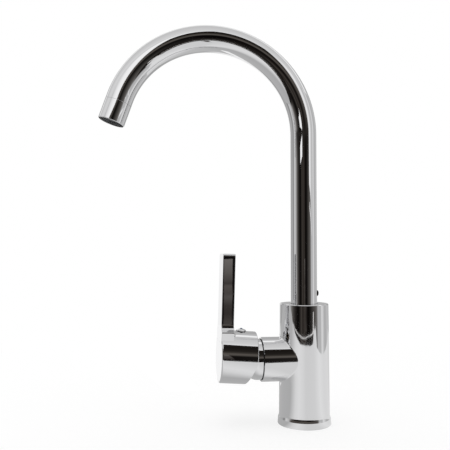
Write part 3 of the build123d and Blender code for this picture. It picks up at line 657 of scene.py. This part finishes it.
# White nylon, moulded: a soft sheen over fine grain, a little warmer and duller
# where the wall is thick, with some light going in below the skin.
nylon = grained(
    "moulded_white_nylon", ("#E6E3DA", "#F1EFE9"), (0.36, 0.48), 6 * mm, 0.3 * mm, 0.008 * mm,
    {"IOR": 1.53, "Subsurface Weight": 0.12, "Subsurface Scale": 1 * mm},
)
dress(nylon, "cartridge_base", "cartridge_housing", "stem_carrier", "disc_carrier")

# Alumina, pressed, fired and lapped flat: near white with pale grey grains,
# and a wet gloss from the lapping.
alumina = grained(
    "lapped_alumina", ("#E3E1DB", "#F6F5F1"), (0.10, 0.20), 0.8 * mm, 0.2 * mm, 0.001 * mm,
    {"IOR": 1.76},
)
dress(alumina, "fixed_disc", "moving_disc")

dress(rubber, "cartridge_seals")


def tool_marks(material, spacing, depth, lay):
    """Adds the fine rings of a tool. Lay turns the piece's axis to Z, in degrees."""
    tree = material.node_tree
    shader = tree.nodes["Principled BSDF"]
    place = add_node(tree, "ShaderNodeTexCoord").outputs["Object"]
    along = add_node(
        tree,
        "ShaderNodeMapping",
        {"Rotation": [radians(angle) for angle in lay]},
        {"Vector": place},
    )
    rings = add_node(
        tree,
        "ShaderNodeTexWave",
        {"bands_direction": "Z", "Scale": pi / (10 * spacing), "Distortion": 1.5, "Detail": 2.0},
        {"Vector": along.outputs[0]},
    )
    cut = add_node(
        tree,
        "ShaderNodeBump",
        {"Distance": depth},
        {"Height": rings.outputs["Fac"], "Normal": shader.inputs["Normal"].links[0].from_socket},
    )
    tree.links.new(cut.outputs[0], shader.inputs["Normal"])


# Stainless steel, ground: a cool grey with a satin gloss, crossed by the fine
# marks of grinding. The marks are drawn 0.3 mm apart so that they show.
steel_colours = ("#B9BBBD", "#CBCCCE")
steel_roughness = (0.20, 0.30)
grind_spacing = 0.3 * mm
grind_depth = 0.003 * mm
pin_lay = (90, 0, 0)
ground_steel = grained(
    "ground_stainless_steel", steel_colours, steel_roughness, 2 * mm, 0.4 * mm, 0.002 * mm,
    {"Metallic": 1.0},
)
tool_marks(ground_steel, grind_spacing, grind_depth, pin_lay)
dress(ground_steel, "stem_pin", "lever_stem")


# ------------------------------------------------------------------ retaining nut
# Turned brass nut, left bare, screwed into the boss. It holds the cartridge
# down on its seals.

# Free-cutting brass, machined: pale gold with the rings of the tool, duller in
# patches where it has been handled. The rings are drawn 0.35 mm apart, coarser
# than a tool's real feed, so that they show.
tool_feed = 0.35 * mm
tool_depth = 0.006 * mm


def machined_brass(piece, lay):
    """The brass of a turned piece. Lay turns the piece's axis to Z, in degrees."""
    material = grained(
        "machined_brass_" + piece,
        ("#C9A45E", "#DDBB79"),
        (0.20, 0.32),
        5 * mm,
        0.5 * mm,
        0.002 * mm,
        {"Metallic": 1.0},
    )
    tool_marks(material, tool_feed, tool_depth, lay)
    return material


boss_lay = (0, 90, 0)
dress(machined_brass("nut", boss_lay), "retaining_nut")


# ------------------------------------------------------------------ bezel ring
# Turned brass ring, chromed, screwed into the mouth of the boss. Its dome
# fills the open side of the lever's cap. Heights are taken along the boss.
boss_height = 62.7 * mm
on_boss = Matrix.Translation((0, 0, boss_height)) @ Matrix.Rotation(radians(-90), 4, "Y")
dome_foot = (19.6 * mm, 47.8 * mm)
dome_front = (17.2 * mm, 55.3 * mm)
dome_bend = 12.92 * mm
bezel_section = (
    (16.9 * mm, 40.2 * mm, 0),
    (18.9 * mm, 40.2 * mm, 0),
    (18.9 * mm, 44.45 * mm, 0),
    (19.6 * mm, 44.45 * mm, 0.12 * mm),
    arc_corner(dome_foot, dome_front, dome_bend),
    (*dome_front, 0.4 * mm),
    (15.8 * mm, 55.3 * mm, 0.2 * mm),
    (15.8 * mm, 43.9 * mm, 0),
    (16.9 * mm, 43.9 * mm, 0),
)
put(
    turned(bezel_section, on_boss),
    "domed_bezel_ring",
    chrome,
    "tap",
    "polished_chrome",
    "bezel_ring",
)


# ------------------------------------------------------------------ seam ring, painted shade
# Black rubber ring in the groove between the boss and the flange of the bezel
# ring, painted shade: it draws the shaded groove as a thin black line.
seam_shade_section = (
    (19 * mm, 43.92 * mm, 0),
    (20 * mm, 43.92 * mm, 0.1 * mm),
    (20 * mm, 44.43 * mm, 0.1 * mm),
    (19 * mm, 44.43 * mm, 0),
)
put(turned(seam_shade_section, on_boss), "seam_shade_ring", rubber, "tap", "black_rubber")


# ------------------------------------------------------------------ lever
# Cast handle, polished and chromed: a cap over the bezel ring with an upright
# blade across its end. Its shape is the CAD node's.
dress(chrome, "lever_handle")


# ------------------------------------------------------------------ lever blade
# The handle's upright blade, one chromed casting with the cap and ground after
# casting. Its top is rounded over, and at its foot it swells into a lip on
# each side of the cap.
blade_lean = radians(1.4)
blade_base = Vector((-85.3 * mm, 0, 54 * mm))
on_blade = Matrix.Translation(blade_base) @ Matrix.Rotation(blade_lean, 4, "Y")
blade_outside = -0.08 * mm
blade_inside = 12.0 * mm
blade_face = 14.05 * mm
blade_edge = 0.5 * mm
corner_steps = 10
edge_steps = 3
# the right half of its outline from the top down: across, up, rounding
blade_half = (
    (blade_face, 111.9 * mm, 2.8 * mm),
    (blade_face, 42 * mm, 3.4 * mm),
    (19.6 * mm, 37.6 * mm, 0.8 * mm),
    (17.6 * mm, 27 * mm, 0),
)
bm = bmesh.new()
outline = [(-y, z, rounding) for y, z, rounding in blade_half] + list(reversed(blade_half))
corners = [bm.verts.new((blade_outside, y, z)) for y, z, rounding in outline]
bm.faces.new(corners)
for corner, (y, z, rounding) in zip(corners, outline):
    if rounding > 0:
        round_off(bm, [corner], "VERTICES", rounding, corner_steps)
grown = bmesh.ops.extrude_face_region(bm, geom=bm.faces[:])["geom"]
far_side = [part for part in grown if isinstance(part, bmesh.types.BMVert)]
bmesh.ops.translate(bm, vec=(blade_inside - blade_outside, 0, 0), verts=far_side)
# the rims of its two faces, without the edges that run from one face to the other
rims = [edge for edge in bm.edges if abs(edge.verts[0].co.x - edge.verts[1].co.x) < 0.1 * mm]
round_off(bm, rims, "EDGES", blade_edge, edge_steps)
bmesh.ops.transform(bm, matrix=on_blade, verts=bm.verts)
bmesh.ops.recalc_face_normals(bm, faces=bm.faces)
put(bm, "lever_blade", chrome, "lever", "polished_chrome")


# ------------------------------------------------------------------ handle screw
# Steel grub screw that clamps the lever's cap to the stem of the cartridge. It
# lies under the index plug.

# Steel, blackened in a hot bath and oiled: a brown-black skin with a low oily
# gloss, greyer where it is thin.
black_steel = grained(
    "oil_blackened_steel", ("#161514", "#2B2927"), (0.26, 0.42), 1.2 * mm, 0.2 * mm, 0.004 * mm,
    {"Metallic": 0.85},
)
dress(black_steel, "handle_screw")


# ------------------------------------------------------------------ index plug
# Turned brass plug, chromed, pressed into the cap over the handle's screw. Its
# dome has a pocket in the middle for the coloured mark.
cap_lean = radians(4)
lever_pivot = Vector((-28 * mm, 0, boss_height))
plug_reach = 37.05
cap_out = Vector((-cos(cap_lean), 0, sin(cap_lean)))
plug_place = lever_pivot + cap_out * plug_reach * mm
on_cap = Matrix.Translation(plug_place) @ Matrix.Rotation(cap_lean, 4, "Y")
plug_foot = 24.6 * mm
plug_brim = 25.45 * mm
plug_edge = (4.85 * mm, 26.3 * mm)
inlay_edge = (1.55 * mm, 27.55 * mm)
plug_section = (
    (0, 22 * mm, 0),
    (3.4 * mm, 22 * mm, 0),
    (3.4 * mm, plug_brim, 0),
    (4.85 * mm, plug_brim, 0.1 * mm),
    (*plug_edge, 0),
    arc_corner(plug_edge, inlay_edge, 9.1 * mm),
    (*inlay_edge, 0.06 * mm),
    (1.55 * mm, 27.1 * mm, 0),
    (0, 27.1 * mm, 0),
)
put(
    turned(plug_section, on_cap, steps=96),
    "domed_index_plug",
    chrome,
    "lever",
    "polished_chrome",
    "index_plug",
)


# ------------------------------------------------------------------ plug ring, painted shade
# Black rubber ring under the plug's brim, painted shade: it draws the shadow gap
# under the brim as a thin black line round the plug.
plug_shade_section = (
    (3.42 * mm, plug_foot, 0),
    (4.84 * mm, plug_foot, 0.1 * mm),
    (4.84 * mm, plug_brim, 0.1 * mm),
    (3.42 * mm, plug_brim, 0),
)
put(turned(plug_shade_section, on_cap, steps=96), "plug_shade_ring", rubber, "lever", "black_rubber")


# ------------------------------------------------------------------ enamel inlay
# Drop of coloured glass, fired into the pocket of the plug, that marks the
# lever. It stands up in a small dome.

# Enamel, fired: muted blue that drifts a little lighter and darker, under a
# clear wet gloss.
enamel = grained(
    "fired_blue_enamel", ("#2C4466", "#3A5678"), (0.08, 0.14), 0.9 * mm, 0.6 * mm, 0.002 * mm,
    {"Coat Weight": 0.3, "Coat Roughness": 0.04},
)
inlay_rim = (1.5 * mm, 27.45 * mm)
inlay_top = (0, 28.3 * mm)
inlay_section = (
    (0, 27.15 * mm, 0),
    (1.5 * mm, 27.15 * mm, 0),
    (*inlay_rim, 0),
    arc_corner(inlay_rim, inlay_top, 1.75 * mm),
    (*inlay_top, 0),
)
put(
    turned(inlay_section, on_cap, steps=48),
    "enamel_inlay",
    enamel,
    "lever",
    "blue_enamel",
    "index_dot",
)


# ------------------------------------------------------------------ spout foot
# Brass connector soldered into the neck tube, with two O-rings. It turns in
# the body's socket between nylon glide rings, held by a steel clip.
upright_lay = (0, 0, 0)
dress(machined_brass("connector", upright_lay), "spout_connector")
dress(rubber, "spout_o_rings")
dress(nylon, "upper_glide_ring", "lower_glide_ring")

# Stainless spring strip, stamped: the same grey, with a tumbled satin surface
# in place of grinding marks.
spring_steel = grained(
    "stamped_spring_steel", steel_colours, (0.26, 0.38), 1.5 * mm, 0.15 * mm, 0.004 * mm,
    {"Metallic": 1.0},
)
dress(spring_steel, "spout_clip")


# ------------------------------------------------------------------ neck tube
# Brass tube, 26 mm, bent on a mandrel into the swan neck, polished and
# chromed. It stands in the body and turns there.
tube_radius = 13 * mm
tube_bore = 12 * mm
tube_foot = 103 * mm
arch_height = 285.1 * mm
arch_radius = 93.75 * mm
bend_degrees = 161
bend_angle = radians(bend_degrees)
tail_length = 4.5 * mm
outlet_down = Vector((-sin(bend_angle), 0, cos(bend_angle)))
bend_end = Vector((
    arch_radius * (cos(bend_angle) - 1),
    0,
    arch_height + arch_radius * sin(bend_angle),
))
tube_end = bend_end + outlet_down * tail_length


def pull(bm, faces, by):
    """Extrudes faces and moves the new end; gives back the end faces."""
    grown = bmesh.ops.extrude_face_region(bm, geom=faces)["geom"]
    moved = [part for part in grown if isinstance(part, bmesh.types.BMVert)]
    bmesh.ops.translate(bm, vec=by, verts=moved)
    bmesh.ops.delete(bm, geom=faces, context="FACES")
    return [part for part in grown if isinstance(part, bmesh.types.BMFace)]


steps_round = 96
bend_steps = 120
bm = bmesh.new()
bmesh.ops.create_circle(bm, segments=steps_round, radius=tube_radius)
bmesh.ops.create_circle(bm, segments=steps_round, radius=tube_bore)
wall = bmesh.ops.bridge_loops(bm, edges=bm.edges[:])["faces"]
bmesh.ops.translate(bm, vec=(0, 0, tube_foot), verts=bm.verts)
bmesh.ops.duplicate(bm, geom=wall)
end_faces = pull(bm, wall, (0, 0, arch_height - tube_foot))
bent = bmesh.ops.spin(
    bm,
    geom=end_faces,
    cent=(-arch_radius, 0, arch_height),
    axis=(0, -1, 0),
    angle=bend_angle,
    steps=bend_steps,
)["geom_last"]
bmesh.ops.delete(bm, geom=end_faces, context="FACES")
end_faces = [part for part in bent if isinstance(part, bmesh.types.BMFace)]
pull(bm, end_faces, outlet_down * tail_length)
bmesh.ops.remove_doubles(bm, verts=bm.verts, dist=0.001 * mm)
bmesh.ops.recalc_face_normals(bm, faces=bm.faces)
put(bm, "swan_neck_tube", chrome, "spout", "polished_chrome", "spout_tube")


# ------------------------------------------------------------------ spout lock screw
# Blackened steel screw with a rounded head, low on the back of the tube. It
# goes through the wall and locks the tube to its connector.
dress(black_steel, "spout_lock_screw")


# ------------------------------------------------------------------ filtered water tube
# Extruded polyethylene tube inside the neck, from the body's middle passage to
# the nozzle. It keeps the filtered water apart from the mixed.

# Clear polyethylene, extruded: milky, with a waxy gloss and faint clouds.
polyethylene = grained(
    "extruded_clear_polyethylene",
    ("#DDE6E6", "#EEF3F2"),
    (0.22, 0.34),
    8 * mm,
    1.2 * mm,
    0.006 * mm,
    {"IOR": 1.51, "Transmission Weight": 0.65},
)
dress(polyethylene, "filtered_water_tube")


# ------------------------------------------------------------------ outlet bush
# Turned brass bush soldered into the end of the tube, with the thread that the
# collar screws on to.
outlet_lay = (0, bend_degrees, 0)
dress(machined_brass("bush", outlet_lay), "outlet_bush")


# ------------------------------------------------------------------ outlet collar
# Turned brass collar, chromed, screwed on at the end of the tube. A ledge
# inside holds the aerator.
on_outlet = Matrix.Translation(tube_end) @ Matrix.Rotation(-bend_angle, 4, "Y")
collar_section = (
    (11.62 * mm, 0, 0),
    (13 * mm, 0, 0.3 * mm),
    (13 * mm, 20.3 * mm, 0.5 * mm),
    (12.3 * mm, 20.3 * mm, 0.15 * mm),
    (12.3 * mm, 19.2 * mm, 0),
    (10.3 * mm, 19.2 * mm, 0),
    (10.3 * mm, 18.2 * mm, 0),
    (11.3 * mm, 18.2 * mm, 0),
    (11.3 * mm, 8 * mm, 0),
    (11.62 * mm, 8 * mm, 0),
)
put(
    turned(collar_section, on_outlet, steps=96),
    "outlet_collar",
    chrome,
    "spout",
    "polished_chrome",
    "aerator_housing",
)


# ------------------------------------------------------------------ aerator washer, and mouth ring of painted shade
# Two moulded rubber rings. The flat washer seals the aerator against the bush;
# the other, in the collar's mouth round the screen, is painted shade: the dark of the shaded
# recess.
dress(rubber, "aerator_washer")
mouth_shade_section = (
    (10.2 * mm, 19.25 * mm, 0),
    (12.25 * mm, 19.25 * mm, 0),
    (12.25 * mm, 19.6 * mm, 0.1 * mm),
    (10.8 * mm, 19.6 * mm, 0.1 * mm),
    (10.2 * mm, 19.4 * mm, 0),
)
put(turned(mouth_shade_section, on_outlet, steps=96), "mouth_shade_ring", rubber, "spout", "black_rubber")


# ------------------------------------------------------------------ aerator insert
# Moulded plastic disc clamped in the collar. The mixed water sprays through its
# ring of holes, and the filtered water's tube ends in its middle.

# Acetal, moulded: cool grey with a low waxy gloss and the grain of the mould.
acetal = grained(
    "moulded_grey_acetal", ("#5F6366", "#6F7376"), (0.34, 0.46), 4 * mm, 0.25 * mm, 0.008 * mm,
    {"IOR": 1.48},
)
dress(acetal, "aerator_insert")


# ------------------------------------------------------------------ spray screen
# Two crossing layers of stainless wire welded to a stamped band, clamped in the
# collar, with a nozzle ring in the middle for the filtered water.
screen_start = 17.15 * mm
screen_end = 18.05 * mm
wire_pitch = 0.9 * mm
wire_radius = 0.16 * mm
wire_bite = 0.2 * mm
weld_sink = 0.02 * mm
layer_start = 0.2 * mm
band_inside = 10.45 * mm
band_outside = 11.28 * mm
nozzle_outside = 3.4 * mm
nozzle_inside = 2.7 * mm
wire_reach = band_inside + wire_bite
wire_gap = nozzle_outside - wire_bite


def wire(bm, start, end, radius):
    """Adds a plain six-sided wire between two points."""
    run = end - start
    turn = run.to_track_quat("Z", "Y").to_matrix().to_4x4()
    place = Matrix.Translation((start + end) / 2) @ turn
    bmesh.ops.create_cone(
        bm,
        cap_ends=True,
        segments=6,
        radius1=radius,
        radius2=radius,
        depth=run.length,
        matrix=place,
    )


bm = turned(
    (
        (band_inside, screen_start, 0),
        (band_outside, screen_start, 0),
        (band_outside, screen_end, 0),
        (band_inside, screen_end, 0.15 * mm),
    ),
    steps=72,
)
wires_each_side = int(wire_reach / wire_pitch)
for count in range(-wires_each_side, wires_each_side + 1):
    aside_by = count * wire_pitch
    far_end = sqrt(wire_reach ** 2 - aside_by ** 2)
    near_end = sqrt(max(0, wire_gap ** 2 - aside_by ** 2))
    ends = ((-far_end, -near_end), (near_end, far_end)) if near_end else ((-far_end, far_end),)
    for start, end in ends:
        upper = screen_start + layer_start
        lower = upper + 2 * wire_radius - weld_sink
        wire(bm, Vector((start, aside_by, upper)), Vector((end, aside_by, upper)), wire_radius)
        wire(bm, Vector((aside_by, start, lower)), Vector((aside_by, end, lower)), wire_radius)
bmesh.ops.transform(bm, matrix=on_outlet, verts=bm.verts)

# Stainless wire, welded and dulled by water: a flat dark grey with little gloss.
gauze = grained(
    "dulled_steel_gauze", ("#66686A", "#86888A"), (0.42, 0.56), 1.5 * mm, 0.15 * mm, 0.004 * mm,
    {"Metallic": 1.0},
)
put(bm, "spray_screen", gauze, "spout", "stainless_steel", "aerator_screen")
bm = turned(
    (
        (nozzle_inside, screen_start, 0),
        (nozzle_outside, screen_start, 0),
        (nozzle_outside, screen_end, 0.2 * mm),
        (nozzle_inside, screen_end, 0.2 * mm),
    ),
    on_outlet,
    steps=48,
)
put(bm, "nozzle_ring", gauze, "spout", "stainless_steel", "aerator_screen")
